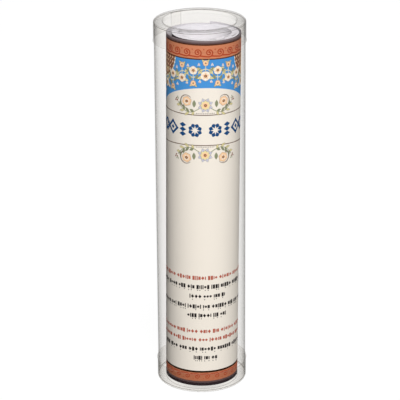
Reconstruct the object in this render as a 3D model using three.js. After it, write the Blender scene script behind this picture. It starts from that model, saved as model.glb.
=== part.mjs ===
// A clear tube case with a printed paper scroll standing in it. Millimetres, +Z up.
// The origin is the middle of the case's foot, on the surface that it stands on.
// +X is to the right of the printed front, and the front faces -Y.
import * as THREE from "three";

// Clear tube, rolled from one flat sheet and glued along a lap
const tubeRadius = 30;
const tubeLength = 251.2;
const tubeSheet = 0.35;
const lapWidth = 8.4;
const lapEaseLength = 14;
const lapTurnShare = 0.317;
const tubeSteps = 72;

// Push-on caps, formed from thin sheet, the same part at both ends
const capSheet = 0.3;
const capClearance = 0.1;
const capSkirtLength = 13.75;
const capShoulderRadius = 1.4;
const capRingWidth = 6.2;
const capRecessDepth = 1.9;
const capRecessDraft = 0.3;
const capBendRadius = 0.5;
const capLipFlare = 0.3;
const capLipHeight = 1.3;
const capSteps = 64;
const bendSteps = 3;

// Paper scroll: three printed sheets glued end to end and rolled, print outward
const paperSheet = 0.25;
const turnGap = 0.35;
const glueGap = 0.3;
const glueLapWidth = 9;
const outerSheetLength = 468;
const middleSheetLength = 380;
const innerSheetLength = 260;
const outerStepsPerTurn = 72;
const innerStepsPerTurn = 48;

// The first turn springs open to a full circle, and its free end stands off the roll. Then the
// paper draws in, and the turns inside the first lie loose in it, pushed to one side.
const freeEndTurnShare = 0.225;
const flapLength = 14;
const flapLiftShare = 0.38;
const looseTurnGap = 1.8;
const looseSideTurnShare = 0.885;
const drawInStartShare = 0.72;
const drawInTurnShare = 0.4;

// Room for the roll beside and above it in the closed case, and the gap that it stands on
const rollSideRoom = 4.75;
const rollHeadRoom = 6.9;
const seatGap = 0.3;

// Where the leaning roll's middle lies at its foot and at its top, as shares of the room beside it
const rollFootShares = { right: -0.02, back: -0.42 };
const rollTopShares = { right: 0.55, back: 0.41 };

const clearPlastic = { color: 0xe9ecee, roughness: 0.08, metalness: 0, transparent: true, opacity: 0.22 };
const printedPaper = { color: 0xebe0d6, roughness: 0.62, metalness: 0 };
const plainPaper = { color: 0xeceaef, roughness: 0.7, metalness: 0 };

const fullTurn = Math.PI * 2;

// Sizes that follow from the ones above
const skirtInside = tubeRadius + capClearance;
const skirtOutside = skirtInside + capSheet;
const capRecessRadius = skirtOutside - capRingWidth;
const caseHeight = tubeLength + capShoulderRadius + capShoulderRadius;
const capFloor = capRecessDepth + capSheet;
const rollRadius = tubeRadius - tubeSheet - tubeSheet - rollSideRoom;
const rollLength = caseHeight - capFloor - capFloor - seatGap - rollHeadRoom;
const turnPitch = paperSheet + turnGap;
const gluePitch = paperSheet + glueGap;

function named(name, geometry, look) {
  const mesh = new THREE.Mesh(geometry, new THREE.MeshStandardMaterial(look));
  mesh.name = name;
  return mesh;
}

function polar(radius, angle) {
  return new THREE.Vector2(radius * Math.cos(angle), radius * Math.sin(angle));
}

function ease(share) {
  return THREE.MathUtils.smoothstep(share, 0, 1);
}

// The tube's section: round, with the sheet's inner end tucked under its outer end along the lap.
// Just before the lap the sheet dips inward by its own thickness.
function tubeSection() {
  const lapStart = fullTurn * lapTurnShare;
  const lapAngle = lapWidth / tubeRadius;
  const easeAngle = lapEaseLength / tubeRadius;
  const dip = (turned) => tubeSheet * ease((turned - (fullTurn - easeAngle)) / easeAngle);
  const outside = [];
  const inside = [];
  for (let step = 0; step <= tubeSteps; step += 1) {
    const turned = (fullTurn * step) / tubeSteps;
    outside.push(polar(tubeRadius - dip(turned), lapStart + turned));
  }
  for (let step = 0; step <= tubeSteps; step += 1) {
    const turned = lapAngle + ((fullTurn - lapAngle) * step) / tubeSteps;
    inside.push(polar(tubeRadius - tubeSheet - dip(turned), lapStart + turned));
  }
  const lapSteps = Math.ceil((tubeSteps * lapAngle) / fullTurn);
  for (let step = 1; step <= lapSteps; step += 1) {
    const turned = (lapAngle * step) / lapSteps;
    inside.push(polar(tubeRadius - tubeSheet - tubeSheet, lapStart + turned));
  }
  const section = new THREE.Shape(outside);
  section.holes.push(new THREE.Path(inside));
  return section;
}

function makeTube() {
  const geometry = new THREE.ExtrudeGeometry(tubeSection(), { depth: tubeLength, bevelEnabled: false });
  const tube = named("tube", geometry, { ...clearPlastic, side: THREE.DoubleSide });
  tube.position.z = capShoulderRadius;
  return tube;
}

// Points of a round bend about a centre, from one angle to another in quarter turns
function bend(centreRadius, centreHeight, radius, fromQuarters, toQuarters) {
  const points = [];
  for (let step = 0; step <= bendSteps; step += 1) {
    const quarters = fromQuarters + ((toQuarters - fromQuarters) * step) / bendSteps;
    const angle = (quarters * Math.PI) / 2;
    points.push(
      new THREE.Vector2(
        centreRadius + radius * Math.cos(angle),
        centreHeight + radius * Math.sin(angle),
      ),
    );
  }
  return points;
}

// Half section of a cap that stands on its ring, from the axis out along the underside and back
// along the upper side. Heights count up from the surface that the ring stands on.
function capProfile() {
  const shoulderCentre = skirtOutside - capShoulderRadius;
  const recessFloor = capRecessDepth;
  const recessWall = capRecessRadius - capRecessDraft;
  const tightBend = capBendRadius;
  const wideBend = capBendRadius + capSheet;
  const lipStart = capSkirtLength - capLipHeight;
  return [
    new THREE.Vector2(0, recessFloor),
    ...bend(recessWall - tightBend, recessFloor - tightBend, tightBend, 1, 0),
    ...bend(capRecessRadius + wideBend, wideBend, wideBend, 2, 3),
    ...bend(shoulderCentre, capShoulderRadius, capShoulderRadius, -1, 0),
    new THREE.Vector2(skirtOutside, lipStart),
    new THREE.Vector2(skirtOutside + capLipFlare, capSkirtLength),
    new THREE.Vector2(skirtInside + capLipFlare, capSkirtLength),
    new THREE.Vector2(skirtInside, lipStart),
    ...bend(shoulderCentre, capShoulderRadius, capShoulderRadius - capSheet, 0, -1),
    ...bend(capRecessRadius + wideBend, wideBend, tightBend, 3, 2),
    ...bend(recessWall - tightBend, recessFloor - tightBend, wideBend, 0, 1),
    new THREE.Vector2(0, recessFloor + capSheet),
  ];
}

// The profile is turned about Y, so the cap is laid over to stand on Z.
function makeCap(name) {
  const geometry = new THREE.LatheGeometry(capProfile(), capSteps);
  geometry.rotateX(Math.PI / 2);
  return named(name, geometry, { ...clearPlastic, side: THREE.DoubleSide });
}

// From 0 in the first turn to 1 in the turns that lie loose in it
function drawnIn(turned) {
  return ease((turned / fullTurn - drawInStartShare) / drawInTurnShare);
}

// Radius of the roll's paper, at the middle of the sheet, after a turn counted from the free end
function rollRadiusAt(turned, glued) {
  const flapLift = rollSideRoom * flapLiftShare;
  const lift = flapLift * (1 - ease((turned * rollRadius) / flapLength));
  const woundTurns = Math.max(0, turned / fullTurn - drawInStartShare - drawInTurnShare);
  const inward = (turnPitch + looseTurnGap) * drawnIn(turned) + turnPitch * woundTurns;
  return rollRadius - paperSheet / 2 + lift - inward - glued * gluePitch;
}

function rollPoint(turned, glued, side) {
  const angle = fullTurn * freeEndTurnShare - turned;
  const radius = rollRadiusAt(turned, glued) + (side * paperSheet) / 2;
  const loosePush = polar(looseTurnGap * drawnIn(turned), fullTurn * looseSideTurnShare);
  return polar(radius, angle).add(loosePush);
}

// The turn angle that a length of paper takes up from a given start
function turnAfter(start, length, glued) {
  const stepAngle = fullTurn / outerStepsPerTurn;
  let turned = start;
  let left = length;
  while (left > 0) {
    const stepLength = stepAngle * rollRadiusAt(turned, glued);
    turned += stepAngle * Math.min(1, left / stepLength);
    left -= stepLength;
  }
  return turned;
}

function sheetSection(start, end, glued, stepsPerTurn) {
  const steps = Math.ceil(((end - start) / fullTurn) * stepsPerTurn);
  const outside = [];
  const inside = [];
  for (let step = 0; step <= steps; step += 1) {
    const turned = start + ((end - start) * step) / steps;
    outside.push(rollPoint(turned, glued, 1));
    inside.push(rollPoint(turned, glued, -1));
  }
  return new THREE.Shape([...outside, ...inside.reverse()]);
}

function makeSheet(name, start, end, glued, stepsPerTurn, look) {
  const section = sheetSection(start, end, glued, stepsPerTurn);
  const geometry = new THREE.ExtrudeGeometry(section, { depth: rollLength, bevelEnabled: false });
  return named(name, geometry, look);
}

// The roll leans, so its foot touches the disc at one side and its centre stands a little higher.
function makeRoll() {
  const foot = new THREE.Vector3(rollFootShares.right, rollFootShares.back, 0);
  const top = new THREE.Vector3(rollTopShares.right, rollTopShares.back, 0);
  foot.multiplyScalar(rollSideRoom);
  top.multiplyScalar(rollSideRoom);
  const lean = top.clone().sub(foot);
  const upright = Math.sqrt(rollLength ** 2 - lean.lengthSq());
  const footRise = (rollRadius * lean.length()) / rollLength;
  const glueTurn = glueLapWidth / rollRadius;
  const outerEnd = turnAfter(0, outerSheetLength, 0);
  const middleStart = outerEnd - glueTurn;
  const middleEnd = turnAfter(middleStart, middleSheetLength, 1);
  const innerStart = middleEnd - glueTurn;
  const innerEnd = turnAfter(innerStart, innerSheetLength, 2);

  const roll = new THREE.Group();
  roll.add(
    makeSheet("scroll_outer_sheet", 0, outerEnd, 0, outerStepsPerTurn, printedPaper),
    makeSheet("scroll_middle_sheet", middleStart, middleEnd, 1, innerStepsPerTurn, plainPaper),
    makeSheet("scroll_inner_sheet", innerStart, innerEnd, 2, innerStepsPerTurn, plainPaper),
  );
  const leanDirection = new THREE.Vector3(lean.x, lean.y, upright).normalize();
  roll.quaternion.setFromUnitVectors(new THREE.Vector3(0, 0, 1), leanDirection);
  roll.position.set(foot.x, foot.y, capFloor + seatGap + footRise);
  return roll;
}

const bottomCap = makeCap("bottom_cap");
const topCap = makeCap("top_cap");
topCap.rotation.x = Math.PI;
topCap.position.z = caseHeight;

const megillahCase = new THREE.Group();
megillahCase.add(makeTube(), bottomCap, topCap, makeRoll());

export default megillahCase;
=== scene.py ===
import math
import random

import bmesh
import bpy
from mathutils import Matrix, Vector


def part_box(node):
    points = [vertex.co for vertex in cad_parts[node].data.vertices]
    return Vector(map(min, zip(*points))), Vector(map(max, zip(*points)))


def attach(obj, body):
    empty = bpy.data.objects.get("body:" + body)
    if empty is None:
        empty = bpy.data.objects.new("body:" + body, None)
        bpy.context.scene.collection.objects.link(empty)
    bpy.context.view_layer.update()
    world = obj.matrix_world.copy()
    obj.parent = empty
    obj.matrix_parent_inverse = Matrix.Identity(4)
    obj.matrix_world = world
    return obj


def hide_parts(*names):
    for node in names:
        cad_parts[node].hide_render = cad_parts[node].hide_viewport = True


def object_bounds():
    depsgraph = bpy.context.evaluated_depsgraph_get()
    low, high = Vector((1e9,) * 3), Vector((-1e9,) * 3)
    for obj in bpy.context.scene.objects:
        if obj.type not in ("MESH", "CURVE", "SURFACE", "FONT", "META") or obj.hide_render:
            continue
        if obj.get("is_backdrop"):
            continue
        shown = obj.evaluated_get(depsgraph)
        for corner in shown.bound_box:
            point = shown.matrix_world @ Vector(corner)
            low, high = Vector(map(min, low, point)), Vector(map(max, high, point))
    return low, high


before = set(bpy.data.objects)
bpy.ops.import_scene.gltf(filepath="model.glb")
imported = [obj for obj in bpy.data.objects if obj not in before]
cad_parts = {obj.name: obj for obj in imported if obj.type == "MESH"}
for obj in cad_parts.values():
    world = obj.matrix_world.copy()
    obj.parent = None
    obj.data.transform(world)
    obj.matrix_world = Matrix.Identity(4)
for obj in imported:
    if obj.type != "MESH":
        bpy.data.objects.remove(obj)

bl_info = {
    "name": "Megillah Case",
    "version": (1, 0, 0),
    "blender": (4, 5, 0),
    "location": "3D View > Sidebar > Megillah Case",
    "description": "A clear tube case with push-on caps and a printed paper scroll standing in it",
    "category": "Object",
}

MM = 0.001
FULL_TURN = 2 * math.pi
QUARTER_TURN = math.pi / 2
CAD_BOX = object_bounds()
TUBE_LOW, TUBE_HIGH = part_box("tube")
CASE_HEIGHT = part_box("top_cap")[1].z

# How finely the round shapes are stepped
TUBE_STEPS = 268
TUBE_ROWS = 12
CAP_STEPS = 192
PAPER_STEPS_PER_TURN = 144
PAPER_ROWS = 16
MEASURING_STEPS_PER_TURN = 72
SHARP_ANGLE = math.radians(40)

# Material places on a rolled sheet, the last one for the tube's seam and for the first turn's cut edges of
# the paper, which are painted darker as shade
OUTER_FACE, INNER_FACE, CUT_EDGE, SPECIAL_STRIP = range(4)

# Material places on a cap
SKIRT, LIP_EDGE, BEND_LINE, RING, DISC, RECESS_WALL = range(6)

# Width of the tube's seam, and the depth over which the painted shade on a cap's recess wall grows towards
# the front
SEAM_WIDTH = 0.7 * MM
FRONT_FADE = 8 * MM
FRONT_FADE_START = 16 * MM

# Ink lies on the paper in thin layers and is bent round the roll in narrow strips
INK_LAYER = 0.03 * MM
INK_ROOT = 0.02 * MM
INK_STRIP = 1.4 * MM

# Finishes of the clear sheet: dust, tint, loss of light where it turns away, and painted shade on its front
CLEAR_FINISHES = {
    "clear tube sheet": (0.003, (0.994, 0.99, 0.984), 1.0),
    "clear tube seam": (0.03, (0.94, 0.935, 0.93), 1.0),
    "worn cap skirt": (0.01, (0.987, 0.98, 0.968), 1.15),
    "clear cap skirt": (0.005, (0.99, 0.986, 0.981), 0.9),
    "clear cap ring": (0.005, (0.99, 0.987, 0.982), 1.1),
    "clear cap disc": (0.004, (0.995, 0.992, 0.988), 0.3),
    # The wall's last value is the painted shade on its front
    "clear cap wall": (0.005, (0.99, 0.987, 0.982), 0.9, 0.12),
}

# How rough the bare and the printed faces of the paper are
BARE_PAPER = 0.72
PRINTED_PAPER = 0.5

# Rows of marks on the roll's front: place up from the lowest row, colour, and both ends as shares of
# the row's reach from the middle
FRONT_ROWS = (
    (0, "black", -0.18, 0.3), (1, "black", -0.88, 1), (2.05, "red", -1, 1), (3, "red", -1, 1),
    (4.8, "black", -0.3, 0.43), (5.8, "black", -1, 1), (6.95, "black", -0.26, 0.4),
    (8, "black", -1, 1), (9, "red", -1, 1),
)

# Width of each kind of mark, as a share of the marks' height
MARK_WIDTH_SHARES = {"bar": 0.24, "block": 0.52, "lozenge": 0.72, "dot": 0.56}

# Where the key light stands, and which way the top and back light come from
KEY_PLACE = (0.17, -1.5, 0.98)
TOP_DIRECTION = (0.08, -0.4, 1.0)
BACK_DIRECTION = (0.1, 1.0, 0.4)


def shade(code):
    """A screen colour written as six hexadecimal digits, as the linear colour that shaders use."""
    channels = [int(code[place:place + 2], 16) / 255 for place in (0, 2, 4)]
    return tuple(c / 12.92 if c <= 0.04045 else ((c + 0.055) / 1.055) ** 2.4 for c in channels)


def length_value(name, description, default, least=0.0):
    return bpy.props.FloatProperty(
        name=name, description=description, default=default, min=least, unit="LENGTH", precision=5
    )


def share_value(name, description, default):
    return bpy.props.FloatProperty(
        name=name, description=description, default=default, subtype="FACTOR", precision=4
    )


def angle_value(name, description, degrees):
    return bpy.props.FloatProperty(
        name=name, description=description, default=math.radians(degrees), unit="ROTATION"
    )


def plain_value(name, description, default):
    return bpy.props.FloatProperty(name=name, description=description, default=default, min=0)


def colour_value(name, description, code):
    return bpy.props.FloatVectorProperty(
        name=name, description=description, default=shade(code), size=3, min=0, max=1, subtype="COLOR"
    )


class MegillahCaseSizes(bpy.types.PropertyGroup):
    """Sizes of the clear tube and of the cap at each end"""

    tube_radius: length_value("Tube Radius", "Outside radius of the tube", 30 * MM)
    tube_sheet: length_value("Tube Sheet", "Thickness of the sheet that the tube is rolled from", 0.35 * MM)
    lap_width: length_value("Lap Width", "Width of the glued lap along the tube", 8.4 * MM)
    lap_ease: length_value("Lap Ease", "Length over which the sheet dips under the lap", 14 * MM)
    lap_turn_share: share_value("Lap Turn", "Place of the lap round the tube, as a share of a turn", 0.317)
    lap_glue_gap: length_value("Lap Glue", "Thickness of the glue in the lap", 0.03 * MM)
    cap_sheet: length_value("Cap Sheet", "Thickness of the caps", 0.3 * MM)
    cap_clearance: length_value("Cap Clearance", "Gap between the tube and a cap's skirt", 0.1 * MM)
    skirt_length: length_value("Skirt Length", "Height of a cap", 13.75 * MM)
    shoulder_radius: length_value("Shoulder Radius", "Round between a cap's ring and its skirt", 1.4 * MM)
    ring_width: length_value("Ring Width", "Width of the raised ring round a cap", 6.2 * MM)
    recess_depth: length_value("Recess Depth", "Depth of the disc inside a cap's ring", 1.9 * MM)
    recess_draft: length_value("Recess Draft", "How far the recess's wall leans in", 0.3 * MM)
    bend_radius: length_value("Bend Radius", "Inside radius of the bends at the recess", 0.5 * MM)
    lip_flare: length_value("Lip Flare", "How far a skirt's open edge turns out", 0.3 * MM)
    lip_height: length_value("Lip Height", "Height of the flared edge", 1.3 * MM)


class MegillahScrollSizes(bpy.types.PropertyGroup):
    """Sizes of the rolled paper and how it stands in the case"""

    side_room: length_value("Side Room", "Room between the roll and the tube, on the radius", 4.75 * MM)
    head_room: length_value("Head Room", "Room above the roll", 6.9 * MM)
    seat_gap: length_value("Seat Gap", "Gap under the roll", 0.3 * MM)
    free_paper: length_value("Free Paper", "Thickness of the paper in the first turn", 0.3 * MM)
    wound_paper: length_value("Wound Paper", "Thickness of the paper where it is tightly wound", 0.59 * MM)
    cad_paper: length_value("Paper in the Frame", "Thickness that the roll's path is laid out for", 0.25 * MM)
    turn_gap: length_value("Turn Gap", "Gap between turns in that path", 0.35 * MM)
    lap_rise: length_value("Lap Rise", "Length over which later turns rise over a lap", 12 * MM)
    glue_lap: length_value("Glue Lap", "Length of the lap between two sheets", 9 * MM)
    outer_length: length_value("Outer Sheet", "Length of the outer sheet", 468 * MM)
    middle_length: length_value("Middle Sheet", "Length of the middle sheet", 380 * MM)
    inner_length: length_value("Inner Sheet", "Length of the inner sheet", 260 * MM)
    flap_length: length_value("Flap Length", "Length of the free end that stands off the roll", 14 * MM)
    loose_gap: length_value("Loose Gap", "Extra gap inside the first turn", 2.0 * MM)
    free_end_share: share_value("Free End", "Place of the free end, as a share of a turn", 0.225)
    flap_lift_share: share_value("Flap Lift", "How far the free end stands off, of the side room", 0.38)
    loose_side_share: share_value("Loose Side", "Side that the inner turns lie to", 0.83)
    draw_in_start_share: share_value("Draw-in Start", "Turns before the paper draws in", 0.72)
    draw_in_turn_share: share_value("Draw-in Length", "Turns in which the paper draws in", 0.4)
    foot_right_share: share_value("Foot Right", "Foot of the roll to the right, of the side room", -0.02)
    foot_back_share: share_value("Foot Back", "Foot of the roll to the back, of the side room", -0.42)
    top_right_share: share_value("Top Right", "Top of the roll to the right, of the side room", 0.55)
    top_back_share: share_value("Top Back", "Top of the roll to the back, of the side room", 0.41)


class MegillahPrintSizes(bpy.types.PropertyGroup):
    """Sizes of the print, down from the paper's top edge or up from its foot"""

    panel_turn: angle_value("Panel Turn", "Angle from the roll's right side to the middle of its front", -87)
    stripe: length_value("Edge Stripe", "Width of the dark stripe along the top edge", 3 * MM)
    border: length_value("Border", "Width of the orange border under it", 8.7 * MM)
    border_line: length_value("Border Line", "Width of the dark line along the border", 0.75 * MM)
    foot_stripe: length_value("Foot Stripe", "Width of the dark stripe along the foot", 3.5 * MM)
    foot_border: length_value("Foot Border", "Width of the orange border above it", 6.2 * MM)
    foot_line: length_value("Foot Line", "Width of the dark line above the foot border", 1.35 * MM)
    arch_pitch: length_value("Arch Pitch", "Distance from one arch of the header to the next", 84 * MM)
    arch_top: length_value("Arch Top", "Where the blue header ends in the middle of an arch", 31.3 * MM)
    arch_radius: length_value("Arch Radius", "Radius of the header's arches", 55 * MM)
    pendant_depth: length_value("Pendant Depth", "Depth of the rust-coloured pendants", 17 * MM)
    pendant_width: length_value("Pendant Width", "Width of the rust-coloured pendants", 40 * MM)
    vine_wave: length_value("Vine Wave", "Length of one wave of the header's vine", 16 * MM)
    vine_flower: length_value("Vine Flower", "Radius of the vine's flowers", 2.9 * MM)
    rosette: length_value("Rosette", "Radius of the rosette in the garlands", 3.2 * MM)
    banner_top: length_value("Banner Top", "Where the line above the banner runs", 49.7 * MM)
    banner_foot: length_value("Banner Foot", "Where the line below the banner runs", 70.3 * MM)
    banner_line: length_value("Banner Line", "Width of the lines above and below the banner", 0.6 * MM)
    banner_sag: length_value("Banner Sag", "How far the lower line sinks at its ends", 2.6 * MM)
    ornament: length_value("Ornament", "Height of the banner's ornaments", 9.2 * MM)
    ornament_drop: length_value("Ornament Drop", "How far they stand below the banner's middle", 0.2 * MM)
    outline: length_value("Outline", "Width of the outline of leaves and petals", 0.2 * MM)
    diaper_pitch: length_value("Diaper Pitch", "Distance between the pendants' lozenges", 2.9 * MM)
    print_margin: length_value("Print Margin", "Bare strip along the sheet's free end", 2 * MM)
    first_row: length_value("First Row", "Height of the lowest row of marks", 20.8 * MM)
    row_pitch: length_value("Row Pitch", "Distance from one row of marks to the next", 6.45 * MM)
    mark_height: length_value("Mark Height", "Height of the marks in a row", 2.95 * MM)


class MegillahPrintColours(bpy.types.PropertyGroup):
    """Colours of the paper and of the inks"""

    cream: colour_value("Cream", "Printed ground of the paper", "E8E2D9")
    paper_back: colour_value("Paper Back", "Unprinted side of the paper", "D3D0D6")
    core: colour_value("Core", "Unprinted side of the innermost sheet", "DFDDE2")
    cut_edge: colour_value("Cut Edge", "Cut edges of the paper", "D0CED4")
    # Painted shade: the first turn's cut edges are coloured darker than the other cut edges, for the partial
    # shade they lie in
    worn_edge: colour_value("Worn Edge", "Painted shade on the first turn's cut edges", "7D7276")
    orange: colour_value("Orange", "Top border", "CF8562")
    foot_orange: colour_value("Foot Orange", "Foot border", "BC7455")
    spiral: colour_value("Spiral", "Scrolls on the border", "AC4529")
    stripe: colour_value("Edge Stripe", "Dark stripe along the edges", "614E50")
    stripe_top: colour_value("Stripe Top", "Lighter upper edge of the top stripe", "93878B")
    # Also used as painted shade: it covers the top edge band of every turn after the first
    stripe_edge_and_shade: colour_value("Stripe Edge", "Darkest line of the stripe", "2C2126")
    border_line: colour_value("Border Line", "Dark line under the top border", "4A2815")
    foot_line: colour_value("Foot Line", "Dark line above the foot border", "2A1A0F")
    blue: colour_value("Blue", "Header", "4A93D4")
    rust: colour_value("Rust", "Pendants of the header", "8A5A48")
    taupe: colour_value("Taupe", "Thin lines round the banner", "77665A")
    navy: colour_value("Navy", "Ornaments of the banner", "1C4A7C")
    black: colour_value("Black", "Marks of the dark rows", "2B2727")
    red: colour_value("Red", "Marks of the red rows", "AF5B49")
    white: colour_value("White", "Petals on the header", "EDE6DA")
    peach: colour_value("Peach", "Petals of the garlands", "EFC9A0")
    gold: colour_value("Gold", "Leaves", "E5D9A2")
    green: colour_value("Green", "Stems and leaves", "8E9577")
    lilac: colour_value("Lilac", "Pale leaves behind the rosettes", "C9C9DC")
    heart: colour_value("Heart", "Middles of the flowers", "7A3A22")
    petal_edge: colour_value("Petal Edge", "Outline of the petals", "9A7B62")
    leaf_edge: colour_value("Leaf Edge", "Outline and rib of the leaves", "6C6E54")


class MegillahStudioSizes(bpy.types.PropertyGroup):
    """Where the camera stands and how strong the light is"""

    camera_distance: length_value("Camera Distance", "How far the camera stands in front", 1.28259)
    camera_height: length_value("Camera Height", "How high the camera stands", 0.6124)
    camera_side: length_value("Camera Side", "How far the camera stands to the right", -0.51 * MM, -1.0)
    camera_pitch: angle_value("Camera Pitch", "How far the camera looks down", 20.669)
    camera_roll: angle_value("Camera Roll", "How far the camera is turned about its view", -0.3805)
    lens: plain_value("Lens", "Focal length in millimetres", 183.76)
    floor_size: length_value("Floor Size", "Side of the floor", 12.0)
    key_size: length_value("Key Size", "Side of the key light's panel", 0.6)
    key_power: plain_value("Key", "Power of the key light", 30.5)
    top_spread: angle_value("Top Spread", "How soft the top light is", 12)
    top_strength: plain_value("Top", "Strength of the top light", 2.0)
    back_spread: angle_value("Back Spread", "How soft the back light is", 20)
    back_strength: plain_value("Back", "Strength of the back light", 1.9)
    room_strength: plain_value("Room", "Strength of the room", 0.02)


class MegillahCaseSettings(bpy.types.PropertyGroup):
    """Everything that a user would change"""

    case: bpy.props.PointerProperty(name="Case", description="The tube and its caps", type=MegillahCaseSizes)
    scroll: bpy.props.PointerProperty(name="Scroll", description="The rolled paper", type=MegillahScrollSizes)
    layout: bpy.props.PointerProperty(name="Print", description="The print's sizes", type=MegillahPrintSizes)
    inks: bpy.props.PointerProperty(name="Colours", description="Paper and inks", type=MegillahPrintColours)
    studio: bpy.props.PointerProperty(name="Studio", description="Camera and light", type=MegillahStudioSizes)


def settings():
    return bpy.context.scene.megillah_case


def ease(share):
    share = min(max(share, 0), 1)
    return share * share * (3 - 2 * share)


def polar(radius, angle):
    return Vector((radius * math.cos(angle), radius * math.sin(angle)))


def steps_between(first, last, count):
    """Evenly spaced values from first to last, both included."""
    return [first + (last - first) * step / count for step in range(count + 1)]


def put_in_scene(name, data):
    made = bpy.data.objects.new(name, data)
    bpy.context.scene.collection.objects.link(made)
    return made


def add_piece(name, points, faces, materials, face_materials=None, uvs=None, smooth=True):
    """A mesh object of closed solids, with its faces turned out and its sharp edges kept."""
    mesh = bpy.data.meshes.new(name)
    mesh.from_pydata(points, [], faces)
    for material in materials:
        mesh.materials.append(material)
    if face_materials:
        mesh.polygons.foreach_set("material_index", face_materials)
    if uvs:
        layer = mesh.uv_layers.new(name="paper")
        for loop in mesh.loops:
            layer.data[loop.index].uv = uvs[loop.vertex_index]
    shell = bmesh.new()
    shell.from_mesh(mesh)
    bmesh.ops.recalc_face_normals(shell, faces=shell.faces)
    shell.to_mesh(mesh)
    shell.free()
    if smooth:
        mesh.polygons.foreach_set("use_smooth", [True] * len(mesh.polygons))
        mesh.set_sharp_from_angle(angle=SHARP_ANGLE)
    mesh.update()
    return put_in_scene(name, mesh)


class Wiring:
    """The shader nodes of one material, added and joined in plain calls."""

    def __init__(self, owner):
        owner.use_nodes = True
        self.tree = owner.node_tree
        self.tree.nodes.clear()

    def feed(self, socket, value):
        """Joins a node or one of its outputs to a socket, or else sets the socket's own value."""
        if isinstance(value, bpy.types.Node):
            value = value.outputs[0]
        if isinstance(value, bpy.types.NodeSocket):
            self.tree.links.new(value, socket)
        elif socket.type == "RGBA":
            socket.default_value = (*value, 1)
        else:
            socket.default_value = value

    def node(self, kind, **inputs):
        made = self.tree.nodes.new(kind)
        for name, value in inputs.items():
            self.feed(made.inputs[name.replace("_", " ")], value)
        return made

    def math(self, operation, *terms, clamp=False):
        made = self.tree.nodes.new("ShaderNodeMath")
        made.operation = operation
        made.use_clamp = clamp
        for socket, term in zip(made.inputs, terms):
            self.feed(socket, term)
        return made.outputs[0]

    def product(self, one, other):
        return self.math("MULTIPLY", one, other)

    def difference(self, one, other, clamp=False):
        return self.math("SUBTRACT", one, other, clamp=clamp)

    def scaled(self, value, factor, added, clamp=False):
        return self.math("MULTIPLY_ADD", value, factor, added, clamp=clamp)

    def mix(self, share, first, second, way="MIX"):
        made = self.tree.nodes.new("ShaderNodeMix")
        made.data_type = "RGBA"
        made.blend_type = way
        shown = [socket for socket in made.inputs if socket.enabled]
        for socket, value in zip(shown, (share, first, second)):
            self.feed(socket, value)
        return next(socket for socket in made.outputs if socket.enabled)

    def blend_shaders(self, share, first, second):
        made = self.tree.nodes.new("ShaderNodeMixShader")
        for socket, value in zip(made.inputs, (share, first, second)):
            self.feed(socket, value)
        return made

    def coordinates(self, stretch):
        """Places on the piece, in metres, stretched so that a pattern runs longer one way."""
        source = self.node("ShaderNodeTexCoord")
        return self.node("ShaderNodeMapping", Vector=source.outputs["Object"], Scale=stretch)

    def noise(self, scale, detail=3.0, roughness=0.55, stretch=(1, 1, 1)):
        place = self.coordinates(stretch)
        made = self.node(
            "ShaderNodeTexNoise", Vector=place, Scale=scale, Detail=detail, Roughness=roughness
        )
        return made.outputs["Fac"]

    def bump(self, height, strength, distance):
        return self.node("ShaderNodeBump", Height=height, Strength=strength, Distance=distance)

    def finish(self, surface):
        self.node("ShaderNodeOutputMaterial", Surface=surface)


def material_once(name, build, *values):
    """The material of that name, made by build the first time."""
    found = bpy.data.materials.get(name)
    if found:
        return found
    made = bpy.data.materials.new(name)
    build(Wiring(made), *values)
    return made


def clear_sheet_look(wiring, haze, tint, dimming, painted_front_shade=0.0):
    """Clear rigid plastic sheet: see-through face on, dimmer and more of a mirror where it turns away.
    A wall can be painted darker on its front half, as shade."""
    facing = wiring.node("ShaderNodeLayerWeight", Blend=0.5).outputs["Facing"]
    side_loss = wiring.product(wiring.math("POWER", facing, 2.0), 0.13 * dimming)
    rim_loss = wiring.product(wiring.math("POWER", facing, 6.0), 0.24 * dimming)
    passed = wiring.difference(1.0, wiring.math("ADD", side_loss, rim_loss), clamp=True)
    # Painted shade: the sheet passes less light the further forward it lies
    if painted_front_shade:
        place = wiring.node("ShaderNodeSeparateXYZ", Vector=wiring.coordinates((1, 1, 1)))
        fade_start = FRONT_FADE_START / FRONT_FADE
        forward = wiring.scaled(place.outputs["Y"], -1 / FRONT_FADE, -fade_start, clamp=True)
        passed = wiring.difference(passed, wiring.product(forward, painted_front_shade))
    clear = wiring.node("ShaderNodeBsdfTransparent", Color=wiring.mix(passed, (0, 0, 0), tint))
    streaks = wiring.noise(160.0, 2.0, stretch=(1, 1, 0.06))
    ripple = wiring.bump(streaks, 0.012, 0.4 * MM)
    turned_away = wiring.scaled(facing, 1.9, -0.2, clamp=True)
    sheen = wiring.mix(turned_away, (0.08, 0.08, 0.08), (0.96, 0.95, 0.93))
    mirror = wiring.node("ShaderNodeBsdfGlossy", Color=sheen, Roughness=0.04, Normal=ripple)
    mirror_share = wiring.scaled(wiring.math("POWER", facing, 5.0), 0.15, 0.006)
    scuffs = wiring.noise(900.0, 4.0, 0.7)
    scuff_share = wiring.product(wiring.difference(scuffs, 0.3, clamp=True), haze)
    dust = wiring.node("ShaderNodeBsdfDiffuse", Color=(0.8, 0.79, 0.77), Roughness=0.3)
    glass = wiring.blend_shaders(mirror_share, clear, mirror)
    wiring.finish(wiring.blend_shaders(scuff_share, glass, dust))


def clear_finish(name):
    return material_once(name, clear_sheet_look, *CLEAR_FINISHES[name])


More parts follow.
